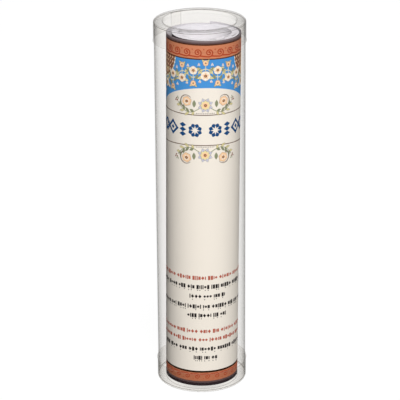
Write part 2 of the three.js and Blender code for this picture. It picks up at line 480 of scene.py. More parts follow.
def cut_edge_look(wiring):
    """Cut edge of the clear sheet, which throws the light aside and reads as a thin grey line."""
    rough = wiring.noise(1400.0, 2.0)
    clear = wiring.node("ShaderNodeBsdfTransparent", Color=(0.74, 0.73, 0.71))
    grain = wiring.bump(rough, 0.2, 0.05 * MM)
    pale = wiring.node("ShaderNodeBsdfDiffuse", Color=shade("A8A5A1"), Roughness=0.2, Normal=grain)
    wiring.finish(wiring.blend_shaders(wiring.scaled(rough, 0.2, 0.15), clear, pale))


def bend_look(wiring):
    """Tight bend of the clear sheet, which throws the light aside and reads as a thin grey line."""
    tone = wiring.mix(wiring.noise(300.0, 2.0), (0.72, 0.71, 0.7), (0.82, 0.81, 0.8))
    clear = wiring.node("ShaderNodeBsdfTransparent", Color=tone)
    mirror = wiring.node("ShaderNodeBsdfGlossy", Color=(0.5, 0.49, 0.48), Roughness=0.15)
    wiring.finish(wiring.blend_shaders(0.06, clear, mirror))


def paper_look(wiring, colour, roughness):
    """Paper grain over a colour: faint cloudiness, fibres and a soft surface."""
    fibres = wiring.noise(2600.0, 3.0, 0.6, stretch=(1, 1, 0.45))
    clouds = wiring.noise(45.0, 3.0)
    grain = wiring.scaled(fibres, 0.06, wiring.scaled(clouds, 0.05, 0.445))
    surface = wiring.node(
        "ShaderNodeBsdfPrincipled",
        Base_Color=wiring.mix(0.5, colour, grain, "SOFT_LIGHT"),
        Diffuse_Roughness=0.3,
        Roughness=wiring.scaled(fibres, 0.12, roughness - 0.06),
        Specular_IOR_Level=0.03,
        Normal=wiring.bump(fibres, 0.12, 0.04 * MM),
    )
    wiring.finish(surface)


def ink_look(wiring, colour):
    """Ink with the slight mottling of offset print."""
    share = wiring.scaled(wiring.noise(3200.0, 2.0, 0.6), 0.24, -0.04, clamp=True)
    lighter = tuple(channel * 0.8 + 0.2 * max(colour) for channel in colour)
    paper_look(wiring, wiring.mix(share, colour, lighter), PRINTED_PAPER)


def printed_ground_look(wiring, paper, layout, inks):
    """The printed face: edge stripes, borders, the arched blue header and its pendants.
    The edge is darker where later turns keep it from the light."""
    source = wiring.node("ShaderNodeUVMap")
    source.uv_map = "paper"
    split = wiring.node("ShaderNodeSeparateXYZ", Vector=source)
    across, height = split.outputs["X"], split.outputs["Y"]
    down = wiring.difference(paper.length, height)

    def within(limit, value):
        return wiring.math("GREATER_THAN", limit, value)

    pitch = layout.arch_pitch
    shifted = wiring.math("FLOORED_MODULO", wiring.math("ADD", across, 50.5 * pitch), pitch)
    from_middle = wiring.difference(shifted, pitch / 2)
    squared = wiring.product(from_middle, from_middle)
    rise = wiring.math("SQRT", wiring.difference(layout.arch_radius ** 2, squared))
    arch = wiring.difference(layout.arch_top + layout.arch_radius, rise)
    border_end = layout.stripe + layout.border
    header_top = border_end + layout.border_line
    from_side = wiring.difference(pitch / 2, wiring.math("ABSOLUTE", from_middle))
    side_share = wiring.math("DIVIDE", from_side, layout.pendant_width / 2)
    drop = wiring.math("SQRT", wiring.difference(1.0, wiring.product(side_share, side_share)))
    pendant = wiring.scaled(drop, layout.pendant_depth, header_top)
    foot_border = layout.foot_stripe + layout.foot_border

    worn = wiring.noise(500.0, 4.0, 0.6)

    def rubbed(ink, share, kept):
        return wiring.mix(wiring.product(worn, share), ink, [channel * kept for channel in ink])

    smudge = rubbed(inks.stripe, 0.7, 0.7)
    from_edge = wiring.math("DIVIDE", down, 0.5 * layout.stripe, clamp=True)
    colour = inks.cream
    for mask, ink in (
        (within(arch, down), inks.blue),
        (wiring.product(within(pendant, down), within(1.0, side_share)), inks.rust),
        (within(header_top, down), inks.border_line),
        (within(border_end, down), rubbed(inks.orange, 0.5, 0.82)),
        (within(layout.stripe, down), inks.border_line),
        # The top stripe is lighter at the paper's edge and blends into the stripe colour halfway down
        (within(0.7 * layout.stripe, down), wiring.mix(from_edge, inks.stripe_top, smudge)),
        # Painted shade: on the turns after the first, the whole top band down to the header takes the darkest
        # stripe colour
        (wiring.product(within(paper.left, across), within(header_top, down)), inks.stripe_edge_and_shade),
        (within(foot_border + layout.foot_line, height), inks.foot_line),
        (within(foot_border, height), rubbed(inks.foot_orange, 0.5, 0.82)),
        (within(layout.foot_stripe, height), smudge),
        (within(0.62 * layout.foot_stripe, height), inks.stripe_edge_and_shade),
    ):
        colour = wiring.mix(mask, colour, ink)
    paper_look(wiring, colour, PRINTED_PAPER)


def rolled_sheet(name, sections, lengths, heights, place, materials):
    """A sheet bent along a path: an outer face, an inner face, and cut edges all round."""
    points, uvs = [], []
    for section, length in zip(sections, lengths):
        for face_point in section:
            for height in heights:
                points.append(place(Vector((face_point.x, face_point.y, height))))
                uvs.append((length, height))
    rows = len(heights)
    last = len(sections) - 1
    faces, face_materials = [], []

    def add_face(kind, *corners):
        faces.append([(section * 2 + side) * rows + row for section, side, row in corners])
        face_materials.append(kind)

    for near in range(last):
        far = near + 1
        for side in (OUTER_FACE, INNER_FACE):
            for low in range(rows - 1):
                high = low + 1
                add_face(side, (near, side, low), (far, side, low), (far, side, high), (near, side, high))
        for row in (0, rows - 1):
            add_face(CUT_EDGE, (near, 0, row), (near, 1, row), (far, 1, row), (far, 0, row))
    for end in (0, last):
        for low in range(rows - 1):
            high = low + 1
            add_face(CUT_EDGE, (end, 0, low), (end, 1, low), (end, 1, high), (end, 0, high))
    return add_piece(name, points, faces, materials, face_materials, uvs)


def make_tube(case, materials):
    """The tube as one rolled sheet, its inner end glued under its outer end."""
    lap_angle = case.lap_width / case.tube_radius
    ease_angle = case.lap_ease / case.tube_radius
    sunk = case.tube_sheet + case.lap_glue_gap
    sections, lengths = [], []
    for turned in steps_between(0, FULL_TURN + lap_angle, TUBE_STEPS):
        dip = sunk * ease((turned - (FULL_TURN - ease_angle)) / ease_angle)
        angle = FULL_TURN * case.lap_turn_share + turned
        outside = case.tube_radius - dip
        sections.append((polar(outside, angle), polar(outside - case.tube_sheet, angle)))
        lengths.append(turned * case.tube_radius)
    rim = case.tube_sheet
    heights = [TUBE_LOW.z, *steps_between(TUBE_LOW.z + rim, TUBE_HIGH.z - rim, TUBE_ROWS), TUBE_HIGH.z]
    tube = rolled_sheet("clear_tube", sections, lengths, heights, lambda point: point, materials)
    paper_uvs = tube.data.uv_layers[0].data
    for face in tube.data.polygons:
        along = sum(paper_uvs[loop].uv.x for loop in face.loop_indices) / face.loop_total
        if not TUBE_LOW.z + rim < face.center.z < TUBE_HIGH.z - rim:
            face.material_index = CUT_EDGE
        elif not SEAM_WIDTH < along < lengths[-1] - SEAM_WIDTH:
            face.material_index = SPECIAL_STRIP
    return tube


def bend(centre, radius, first_quarter, last_quarter, steps=8):
    """Points of a round bend, from one angle to another in quarter turns."""
    quarters = steps_between(first_quarter, last_quarter, steps)
    return [centre + polar(radius, quarter * QUARTER_TURN) for quarter in quarters]


def cap_profile(case):
    """Half section of a cap that stands on its ring, out along the underside and back above it.
    Also says which stretches are skirt, cut edge, bend line, ring, disc and recess wall."""
    skirt_inside = case.tube_radius + case.cap_clearance
    skirt_outside = skirt_inside + case.cap_sheet
    recess_radius = skirt_outside - case.ring_width
    shoulder = Vector((skirt_outside - case.shoulder_radius, case.shoulder_radius))
    tight = case.bend_radius
    wide = case.bend_radius + case.cap_sheet
    disc_bend = Vector((recess_radius - case.recess_draft - tight, case.recess_depth - tight))
    ring_bend = Vector((recess_radius + wide, wide))

    def lip(radius):
        rise = Vector((0, case.skirt_length - case.lip_height))
        return [
            Vector((radius + case.lip_flare * ease(share), case.lip_height * share)) + rise
            for share in steps_between(0, 1, 6)
        ]

    underside = [
        Vector((0, case.recess_depth)),
        *bend(disc_bend, tight, 1, 0),
        *bend(ring_bend, wide, 2, 3),
        *bend(shoulder, case.shoulder_radius, -1, 0),
        *lip(skirt_outside),
    ]
    upper_side = [
        *reversed(lip(skirt_inside)),
        *bend(shoulder, case.shoulder_radius - case.cap_sheet, 0, -1),
        *bend(ring_bend, tight, 3, 2),
        *bend(disc_bend, wide, 0, 1),
        Vector((0, case.recess_depth + case.cap_sheet)),
    ]

    def kind_of(middle):
        from_ring, from_shoulder = middle - ring_bend, middle - shoulder
        inward, outward = from_ring.x < -0.4 * from_ring.length, from_shoulder.x > 0
        on_ring_bend = inward and -wide < from_ring.y < -0.5 * from_ring.length
        on_diagonal = abs(from_shoulder.x + from_shoulder.y) < 0.4 * from_shoulder.length
        near_shoulder = from_shoulder.length < 1.1 * case.shoulder_radius
        if on_ring_bend or (outward and on_diagonal and near_shoulder):
            return BEND_LINE
        if middle.x > shoulder.x or middle.y > wide + case.recess_depth:
            return SKIRT
        if middle.x > ring_bend.x:
            return RING
        return DISC if middle.x < disc_bend.x else RECESS_WALL

    profile = underside + upper_side
    kinds = [kind_of((one + other) / 2) for one, other in zip(profile, profile[1:])]
    kinds[len(underside) - 1] = LIP_EDGE
    return profile, kinds


def make_cap(name, case, place, materials):
    """A cap as one formed sheet, turned about the case's axis."""
    profile, kinds = cap_profile(case)
    points, rings = [], []
    for point in profile:
        if point.x == 0:
            rings.append([len(points)] * CAP_STEPS)
            points.append(place(Vector((0, 0, point.y))))
            continue
        rings.append([len(points) + step for step in range(CAP_STEPS)])
        for step in range(CAP_STEPS):
            flat = polar(point.x, FULL_TURN * step / CAP_STEPS)
            points.append(place(Vector((flat.x, flat.y, point.y))))
    faces, face_materials = [], []
    for low, high, kind in zip(rings, rings[1:], kinds):
        for step in range(CAP_STEPS):
            after = (step + 1) % CAP_STEPS
            corners = [low[step], low[after], high[after], high[step]]
            faces.append(list(dict.fromkeys(corners)))
            face_materials.append(kind)
    return add_piece(name, points, faces, materials, face_materials)


class RolledPaper:
    """The path of the rolled paper: where a place on it lies once it is rolled and stands in the case.
    The first turn's print runs from left to right of the middle of the roll's front."""

    def __init__(self, chosen):
        case, scroll = chosen.case, chosen.scroll
        self.scroll = scroll
        cap_floor = case.recess_depth + case.cap_sheet
        self.radius = case.tube_radius - 2 * case.tube_sheet - scroll.side_room
        self.length = CASE_HEIGHT - 2 * cap_floor - scroll.seat_gap - scroll.head_room
        self.middle = self.radius - scroll.cad_paper / 2
        self.turn_pitch = scroll.cad_paper + scroll.turn_gap
        foot = Vector((scroll.foot_right_share, scroll.foot_back_share, 0)) * scroll.side_room
        top = Vector((scroll.top_right_share, scroll.top_back_share, 0)) * scroll.side_room
        lean = top - foot
        upright = math.sqrt(self.length ** 2 - lean.length_squared)
        direction = Vector((lean.x, lean.y, upright)).normalized()
        rise = self.radius * lean.length / self.length
        self.turn = Vector((0, 0, 1)).rotation_difference(direction)
        self.foot = Vector((foot.x, foot.y, cap_floor + scroll.seat_gap + rise))
        self.front_turned = FULL_TURN * scroll.free_end_share - chosen.layout.panel_turn
        self.right = self.front_turned * self.middle
        self.left = self.right - FULL_TURN * self.middle
        self.laps = []
        self.sheets = self.sheet_turns()

    def place(self, point):
        return self.turn @ point + self.foot

    def drawn_in(self, turned):
        share = (turned / FULL_TURN - self.scroll.draw_in_start_share) / self.scroll.draw_in_turn_share
        return ease(share)

    def pushed_in(self, turned, glued):
        """How far the glued laps before a place push the paper in there."""
        half_lap = self.scroll.glue_lap / self.radius / 2
        rise = self.scroll.lap_rise / self.radius
        laps_over = 0
        for lap in self.laps[:glued]:
            away = abs((turned - lap + math.pi) % FULL_TURN - math.pi)
            laps_over += ease((half_lap + rise - away) / rise)
        return laps_over * self.scroll.wound_paper

    def radius_at(self, turned, glued):
        scroll = self.scroll
        flap_share = ease(turned * self.radius / scroll.flap_length)
        lift = scroll.side_room * scroll.flap_lift_share * (1 - flap_share)
        wound = max(0, turned / FULL_TURN - scroll.draw_in_start_share - scroll.draw_in_turn_share)
        inward = (self.turn_pitch + scroll.loose_gap) * self.drawn_in(turned) + self.turn_pitch * wound
        return self.middle + lift - inward - self.pushed_in(turned, glued)

    def thickness(self, turned):
        scroll = self.scroll
        return scroll.free_paper + (scroll.wound_paper - scroll.free_paper) * self.drawn_in(turned)

    def flat_point(self, turned, glued, off_middle):
        angle = FULL_TURN * self.scroll.free_end_share - turned
        push = polar(self.scroll.loose_gap * self.drawn_in(turned), FULL_TURN * self.scroll.loose_side_share)
        return polar(self.radius_at(turned, glued) + off_middle, angle) + push

    def turn_after(self, start, length, glued):
        """The turn angle reached after a length of paper."""
        step_angle = FULL_TURN / MEASURING_STEPS_PER_TURN
        turned, left = start, length
        while left > 0:
            step_length = step_angle * self.radius_at(turned, glued)
            turned += step_angle * min(1, left / step_length)
            left -= step_length
        return turned

    def sheet_turns(self):
        """First and last turn angle of each of the three sheets, and how many laps lie before it."""
        glue_turn = self.scroll.glue_lap / self.radius
        first, found = 0, []
        sheets = (self.scroll.outer_length, self.scroll.middle_length, self.scroll.inner_length)
        for glued, length in enumerate(sheets):
            last = self.turn_after(first, length, glued)
            found.append((first, last, glued))
            first = last - glue_turn
            self.laps.append(last - glue_turn / 2)
        return found

    def along(self, turned):
        """How far right of the middle of the roll's front a turn angle lies."""
        return (self.front_turned - turned) * self.middle

    def print_point(self, right, height, lift):
        turned = self.front_turned - right / self.middle
        flat = self.flat_point(turned, 0, self.thickness(turned) / 2 + lift)
        return self.place(Vector((flat.x, flat.y, height)))


def make_sheet(name, paper, first, last, glued, materials):
    steps = math.ceil((last - first) / FULL_TURN * PAPER_STEPS_PER_TURN)
    turns = steps_between(first, last, steps)
    sections = [
        [paper.flat_point(turned, glued, side * paper.thickness(turned) / 2) for side in (1, -1)]
        for turned in turns
    ]
    lengths = [paper.along(turned) for turned in turns]
    heights = steps_between(0, paper.length, PAPER_ROWS)
    sheet = rolled_sheet(name, sections, lengths, heights, paper.place, materials)
    paper_uvs = sheet.data.uv_layers[0].data
    # The first turn's cut edges take the darker colour, painted shade rather than a worn edge
    for face in sheet.data.polygons:
        if face.material_index == CUT_EDGE and paper_uvs[face.loop_start].uv.x > paper.left:
            face.material_index = SPECIAL_STRIP
    return sheet


class Ink:
    """Flat shapes of one ink, drawn on the unrolled paper and then wrapped onto the roll.
    A place is its distance right of the middle of the roll's front and its height on the paper."""

    def __init__(self, name, colour, layer):
        self.name = name
        self.colour = tuple(colour)
        self.lift = INK_LAYER * (1 + layer)
        self.flat = bmesh.new()

    def shape(self, outline):
        """A convex outline."""
        self.flat.faces.new([self.flat.verts.new((x, y, 0)) for x, y in outline])

    def dot(self, centre, radius, steps=8):
        centre = Vector(centre)
        self.shape([centre + polar(radius, angle) for angle in steps_between(0, FULL_TURN, steps)[:-1]])

    def leaf(self, base, tip, width, steps=7, fullness=1.0):
        """A pointed leaf, widest at its middle or, where it is fuller, nearer its tip."""
        side = (tip - base).orthogonal().normalized() * width / 2
        one, other = [], []
        for share in steps_between(0, 1, steps):
            reach = side * math.sin(math.pi * share ** fullness)
            one.append(base.lerp(tip, share) + reach)
            other.append(base.lerp(tip, share) - reach)
        self.shape([*one, *other[-2:0:-1]])

    def petal(self, centre, angle, start, end, width):
        """A petal from one distance to another off a flower's middle, widest near its tip."""
        self.leaf(centre + polar(start, angle), centre + polar(end, angle), width, steps=8, fullness=1.5)

    def stroke(self, path, widths):
        """A line along a path, of one width or with a width for each point."""
        path = [Vector(point) for point in path]
        if not isinstance(widths, list):
            widths = [widths] * len(path)
        rails = []
        for index, (point, width) in enumerate(zip(path, widths)):
            before, after = path[max(index - 1, 0)], path[min(index + 1, len(path) - 1)]
            side = (after - before).orthogonal().normalized() * width / 2
            rails.append([self.flat.verts.new((*spot, 0)) for spot in (point + side, point - side)])
        for one, other in zip(rails, rails[1:]):
            self.flat.faces.new([one[0], other[0], other[1], one[1]])

    def four_sided(self, centre, width, height, corners):
        x, y = centre
        self.shape([(x + right * width / 2, y + up * height / 2) for right, up in corners])

    def block(self, centre, width, height):
        self.four_sided(centre, width, height, ((-1, -1), (1, -1), (1, 1), (-1, 1)))

    def lozenge(self, centre, width, height):
        self.four_sided(centre, width, height, ((-1, 0), (0, -1), (1, 0), (0, 1)))

    def wrap(self, paper):
        """Cuts the shapes into narrow strips, wraps them onto the roll and gives them a thickness."""
        flat = self.flat
        spread = [vert.co.x for vert in flat.verts]
        start, end = min(spread), max(spread)
        for place in range(1, math.ceil((end - start) / INK_STRIP)):
            bmesh.ops.bisect_plane(
                flat, geom=[*flat.verts, *flat.edges, *flat.faces], dist=1e-8,
                plane_co=(start + place * INK_STRIP, 0, 0), plane_no=(1, 0, 0),
            )
        flat.verts.index_update()
        count = len(flat.verts)
        points = [
            paper.print_point(vert.co.x, vert.co.y, lift)
            for lift in (self.lift, -INK_ROOT)
            for vert in flat.verts
        ]
        faces = []
        for face in flat.faces:
            corners = [vert.index for vert in face.verts]
            faces += [corners, [corner + count for corner in reversed(corners)]]
        for edge in flat.edges:
            if len(edge.link_faces) == 1:
                one, other = (vert.index for vert in edge.verts)
                faces.append([one, other, other + count, one + count])
        flat.free()
        material = material_once(f"{self.name} ink", ink_look, self.colour)
        piece = add_piece(self.name, points, faces, [material], smooth=False)
        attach(piece, "scroll")


class MEGILLAH_OT_tube(bpy.types.Operator):
    """Make the clear tube, rolled from one sheet and glued along a lap"""

    bl_idname = "megillah.tube"
    bl_label = "Clear Tube"

    def execute(self, context):
        face = clear_finish("clear tube sheet")
        edge = material_once("clear sheet cut edge", cut_edge_look)
        seam = clear_finish("clear tube seam")
        tube = make_tube(settings().case, [face, face, edge, seam])
        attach(tube, "case_tube")
        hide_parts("tube")
        return {"FINISHED"}


class MEGILLAH_OT_caps(bpy.types.Operator):
    """Make the two clear push-on caps"""

    bl_idname = "megillah.caps"
    bl_label = "Clear Caps"

    def execute(self, context):
        edge = material_once("clear sheet cut edge", cut_edge_look)
        bend_line = material_once("clear cap bend", bend_look)
        middle = [clear_finish(f"clear cap {name}") for name in ("ring", "disc", "wall")]

        def turned_over(point):
            return Vector((point.x, -point.y, CASE_HEIGHT - point.z))

        for node, body, place, skirt in (
            ("bottom_cap", "lower_cap", lambda point: point, "worn cap skirt"),
            ("top_cap", "upper_cap", turned_over, "clear cap skirt"),
        ):
            looks = [clear_finish(skirt), edge, bend_line, *middle]
            cap = make_cap(f"clear_{node}", settings().case, place, looks)
            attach(cap, body)
            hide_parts(node)
        return {"FINISHED"}


class MEGILLAH_OT_scroll(bpy.types.Operator):
    """Make the three sheets of the rolled paper"""

    bl_idname = "megillah.scroll"
    bl_label = "Rolled Paper"

    def execute(self, context):
        chosen = settings()
        paper = RolledPaper(chosen)
        ground = material_once("printed ground", printed_ground_look, paper, chosen.layout, chosen.inks)
        back, core, cut, worn_edge = (
            material_once(f"paper {name}", paper_look, tuple(colour), BARE_PAPER)
            for name, colour in (
                ("back", chosen.inks.paper_back), ("core", chosen.inks.core),
                ("cut edge", chosen.inks.cut_edge), ("shaded first edge", chosen.inks.worn_edge),
            )
        )
        for name, turns in zip(("outer", "middle", "inner"), paper.sheets):
            looks = [ground, core if name == "inner" else back, cut, worn_edge]
            sheet = make_sheet(f"paper_{name}_sheet", paper, *turns, looks)
            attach(sheet, "scroll")
            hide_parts(f"scroll_{name}_sheet")
        return {"FINISHED"}


class Drawing:
    """The inks of one part of the print, each named after the part and made when first used."""

    def __init__(self, part):
        chosen = settings()
        self.part = part
        self.paper, self.layout, self.colours = RolledPaper(chosen), chosen.layout, chosen.inks
        self.left, self.right = self.paper.left, self.paper.right
        self.inks = {}

    def ink(self, use, colour, layer=0):
        if use not in self.inks:
            self.inks[use] = Ink(f"print_{self.part}_{use}", getattr(self.colours, colour), layer)
        return self.inks[use]

    def down(self, depth):
        """The height of a place that is given down from the paper's top edge."""
        return self.paper.length - depth

    def printed(self, x):
        margin = self.layout.print_margin
        return self.left + margin < x < self.right - margin

    def wrap(self):
        for ink in self.inks.values():
            ink.wrap(self.paper)

    def flower(self, centre, radius, petal_colour, inner_colour, count=6, turn=0.0):
        """Two rings of petals round a dark heart with a pale dot in it."""
        width = 5.2 * radius / count
        rim = self.layout.outline
        core = 0.1 * radius
        inner_reach, inner_width = 0.66 * radius, 0.46 * radius
        for step in range(count):
            angle = turn + FULL_TURN * step / count
            between = angle + FULL_TURN / count / 2
            self.ink("petal_edges", "petal_edge", 2).petal(centre, angle, 0, radius + rim, width + 2 * rim)
            self.ink(f"{petal_colour}_petals", petal_colour, 3).petal(centre, angle, core, radius, width)
            inner = self.ink(f"{inner_colour}_petals", inner_colour, 4)
            inner.petal(centre, between, core, inner_reach, inner_width)
        self.ink("hearts", "heart", 5).dot(centre, 0.29 * radius, steps=16)
        self.ink("dots", "gold", 6).dot(centre, 0.09 * radius)

    def stem(self, path, colour, width):
        self.ink(f"{colour}_stems", colour).stroke(path, width)

    def leaf(self, base, angle, length, width, colour):
        """A leaf with a thin outline and a rib."""
        tip = base + polar(length, angle)
        rim = self.layout.outline
        self.ink("leaf_edges", "leaf_edge", 1).leaf(base, base + polar(length + rim, angle), width + 2 * rim)
        self.ink(f"{colour}_leaves", colour, 2).leaf(base, tip, width)
        self.ink("leaf_ribs", "leaf_edge", 3).stroke([base, base.lerp(tip, 0.8)], 0.8 * rim)

    def bud(self, centre, size, colour):
        """Three dots."""
        for step in range(3):
            spot = centre + polar(size, FULL_TURN * (step / 3 + 0.25))
            self.ink(f"{colour}_buds", colour, 3).dot(spot, 0.6 * size, steps=10)


class MEGILLAH_OT_borders(bpy.types.Operator):
    """Print the running scrolls on the borders along the paper's top and foot"""

    bl_idname = "megillah.borders"
    bl_label = "Border Scrolls"

    def execute(self, context):
        drawing = Drawing("border")
        layout = drawing.layout
        top_middle = drawing.down(layout.stripe + layout.border / 2)
        foot_middle = layout.foot_stripe + layout.foot_border / 2
        self.running_scroll(drawing, top_middle, 0.7 * layout.border, 1.22, 1.45)
        self.running_scroll(drawing, foot_middle, 0.74 * layout.foot_border, 1.5, 1.1, hanging=True)
        drawing.wrap()
        return {"FINISHED"}

    def running_scroll(self, drawing, middle, height, pitch_share, coil_turns, hanging=False):
        """Curls along the whole turn, with a dot over each, or below it where they hang."""
        ink = drawing.ink("scrolls", "spiral")
        pitch = pitch_share * height
        up = -1 if hanging else 1
        for place in range(math.floor((drawing.right - drawing.left) / pitch) - 1):
            start = Vector((drawing.left + pitch * (place + 0.8), middle))
            self.curl(ink, start, height, coil_turns, up)
            ink.dot(start + Vector((0.05 * height, up * 0.3 * height)), 0.07 * height)

    def curl(self, ink, start, height, coil_turns, up):
        """One curl: a tail along the scroll's foot line, a coil and a round eye."""
        coil_radius = 0.44 * height
        centre = Vector((0.62 * height, coil_radius))
        tail_start = Vector((-0.42 * height, 0.1 * height))
        tail_end = centre - Vector((0, coil_radius))
        path = [tail_start.lerp(tail_end, ease(share)) for share in steps_between(0, 0.9, 6)]
        for share in steps_between(0, 1, 22):
            radius = coil_radius * (1 - 0.78 * share)
            path.append(centre + polar(radius, FULL_TURN * (coil_turns * share - 0.25)))
        path = [start + Vector((point.x, up * (point.y - height / 2))) for point in path]
        ink.stroke(path, [height * (0.15 - 0.05 * index / len(path)) for index in range(len(path))])
        ink.dot(path[-1], 0.12 * height, steps=10)


class MEGILLAH_OT_header(bpy.types.Operator):
    """Print the flowering vines on the blue header and the diaper on its pendants"""

    bl_idname = "megillah.header"
    bl_label = "Header Vines"

    def execute(self, context):
        drawing = Drawing("header")
        layout = drawing.layout
        top = layout.stripe + layout.border + layout.border_line
        for arch in (-1, 0, 1):
            self.vine(drawing, arch * layout.arch_pitch, top)
        for pendant in (-1, 0):
            self.diaper(drawing, (pendant + 0.5) * layout.arch_pitch, drawing.down(top))
        drawing.wrap()
        return {"FINISHED"}

    def vine(self, drawing, middle, top):
        """A waving stem that follows the arch, with flowers in its bends."""
        layout = drawing.layout
        reach = 0.45 * layout.arch_pitch
        wave = layout.vine_wave
        size = layout.vine_flower
        rest = top + 0.46 * (layout.arch_top - top)

        def spot(offset, raised=0.0):
            sag = 4.2 * size * (offset / reach) ** 2
            wave_height = 0.9 * size * math.cos(FULL_TURN * offset / wave)
            return Vector((middle + offset, drawing.down(rest + sag) + wave_height + raised))

        inside = [offset for offset in steps_between(-reach, reach, 96) if drawing.printed(middle + offset)]
        if len(inside) < 2:
            return
        drawing.stem([spot(offset) for offset in inside], "gold", 0.17 * size)
        half_waves = math.floor(reach / (wave / 2))
        for place in range(-half_waves, half_waves + 1):
            offset = place * wave / 2
            if drawing.printed(middle + offset):
                self.spray(drawing, spot, offset, -1 if place % 2 else 1, 1.15 if place == 0 else 1.0)

    def spray(self, drawing, spot, offset, up, growth):
        """A large flower on one side of the vine, a small one on the other, leaves and buds."""
        size, wave = drawing.layout.vine_flower, drawing.layout.vine_wave
        radius = size * growth
        upward = QUARTER_TURN * up
        large = spot(offset, -up * 1.6 * size)
        drawing.stem([spot(offset), large], "gold", 0.14 * size)
        for lean in (-1.9, 1.9):
            drawing.leaf(large, upward + lean, 1.75 * radius, 0.6 * radius, "gold")
        drawing.flower(large, radius, "white", "peach", 5, turn=-upward)
        small = spot(offset, up * 1.35 * size)
        drawing.stem([spot(offset), small], "gold", 0.14 * size)
        for lean in (-0.8, 0.8):
            drawing.leaf(small, upward + lean, 1.15 * size, 0.42 * size, "gold")
        drawing.flower(small, 0.62 * size, "peach", "white", 5, turn=upward)
        for hand in (-1, 1):
            base = spot(offset + hand * 0.2 * wave)
            drawing.leaf(base, -upward - hand * 0.6, 1.5 * size, 0.6 * size, "gold")
            drawing.leaf(base, upward - hand * 0.5, 1.3 * size, 0.5 * size, "green")
            drawing.bud(spot(offset + hand * 0.27 * wave, up * 2.0 * size), 0.2 * size, "white")
            drawing.bud(spot(offset + hand * 0.23 * wave, -up * 2.2 * size), 0.16 * size, "peach")

    def diaper(self, drawing, middle, top):
        """Small lozenges and dots all over a pendant, inside a beaded edge."""
        layout = drawing.layout
        half_width, depth = layout.pendant_width / 2, layout.pendant_depth
        pitch = layout.diaper_pitch
        rim_width = 0.55 * pitch
        count = math.ceil(half_width / pitch)
        lozenges = drawing.ink("pendant_lozenges", "peach", 1)
        dots = drawing.ink("pendant_dots", "gold", 1)
        for column in range(-2 * count, 2 * count + 1):
            for row in range(0, 2 * math.ceil(depth / pitch)):
                x, drop = column * pitch / 2, (row + 0.7) * pitch / 2
                inside = (x / (half_width - rim_width)) ** 2 + (drop / (depth - rim_width)) ** 2 < 1
                if not inside or not drawing.printed(middle + x) or (column + row) % 2:
                    continue
                if row % 2:
                    dots.dot((middle + x, top - drop), 0.1 * pitch)
                else:
                    lozenges.lozenge((middle + x, top - drop), 0.45 * pitch, 0.6 * pitch)
        rim = [
            Vector((middle + half_width * math.cos(angle), top - depth * math.sin(angle)))
            for angle in steps_between(0, math.pi, 40)
        ]
        rim = [place for place in rim if drawing.printed(place.x)]
        if len(rim) > 1:
            drawing.stem(rim, "gold", 0.17 * pitch)
            for place in rim[1:-1:2]:
                drawing.ink("pendant_beads", "white", 2).dot(place, 0.19 * pitch, steps=10)


class MEGILLAH_OT_garlands(bpy.types.Operator):
    """Print the garlands above and below the banner and the thin lines beside them"""

    bl_idname = "megillah.garlands"
    bl_label = "Garlands"

    def execute(self, context):
        drawing = Drawing("garland")
        layout = drawing.layout
        reach = 0.47 * layout.arch_pitch
        for depth, up, sag in ((layout.banner_top, 1, 0), (layout.banner_foot, -1, layout.banner_sag)):
            line_height = drawing.down(depth)
            self.garland(drawing, line_height, up)
            shares = steps_between(-1, 1, 24)
            line = [(reach * share, line_height - sag * share ** 2) for share in shares]
            drawing.stem(line, "taupe", layout.banner_line)
        drawing.wrap()
        return {"FINISHED"}

    def garland(self, drawing, line_height, up):
        """A rosette between two flowering sprays, standing on the line or hanging from it.
        Places are counted in radiuses of the rosette."""
        size = drawing.layout.rosette

        def spot(x, rise):
            return Vector((x * size, line_height + up * rise * size))

        centre = spot(0, 2.1)
        for step in range(8):
            drawing.leaf(centre, FULL_TURN * (step + 0.5) / 8, 1.55 * size, 0.75 * size, "lilac")
        drawing.flower(centre, size, "gold", "peach", 8)
        for place in range(-5, 6):
            lozenges = drawing.ink("taupe_lozenges", "taupe", 1)
            lozenges.lozenge(spot(0.36 * place, 0.35), 0.22 * size, 0.26 * size)
        for hand in (-1, 1):
            self.spray(drawing, spot, hand, up)

    def spray(self, drawing, spot, hand, up):
        """A leafy stem that bows towards the line, a flower inside a curl, a leaf and two buds."""
        size = drawing.layout.rosette
        path = [
            spot(hand * (1.1 + 4.9 * share), 1.5 - 1.05 * math.sin(math.pi * share) + 0.9 * share ** 3)
            for share in steps_between(0, 1, 24)
        ]
        drawing.stem(path, "green", 0.15 * size)
        for index, length in ((6, 0.95), (11, 1.2), (16, 1.2), (21, 0.95)):
            lean = (path[index + 1] - path[index]).angle_signed(Vector((1, 0)))
            for rise, colour in ((0.75, "green"), (-0.75, "gold")):
                drawing.leaf(path[index], lean + rise * up * hand, length * size, 0.4 * size, colour)
        flower = spot(hand * 3.9, 2.8)
        shares = steps_between(0, 1, 16)
        curl = [
            flower + polar(size * (1.5 - 0.3 * share), up * (QUARTER_TURN - hand * (2.6 - 3.4 * share)))
            for share in shares
        ]
        widths = [0.3 * size * (1 - 0.7 * share) for share in shares]
        drawing.ink("taupe_stems", "taupe").stroke(curl, widths)
        drawing.flower(flower, 1.02 * size, "peach", "white", 6, turn=up * 0.3)
        drawing.leaf(spot(hand * 2.3, 1.6), up * QUARTER_TURN, 1.5 * size, 0.6 * size, "green")
        drawing.bud(path[-1] + Vector((hand * 0.4 * size, up * 0.4 * size)), 0.26 * size, "heart")
        drawing.bud(spot(hand * 6.1, 3.2), 0.22 * size, "green")


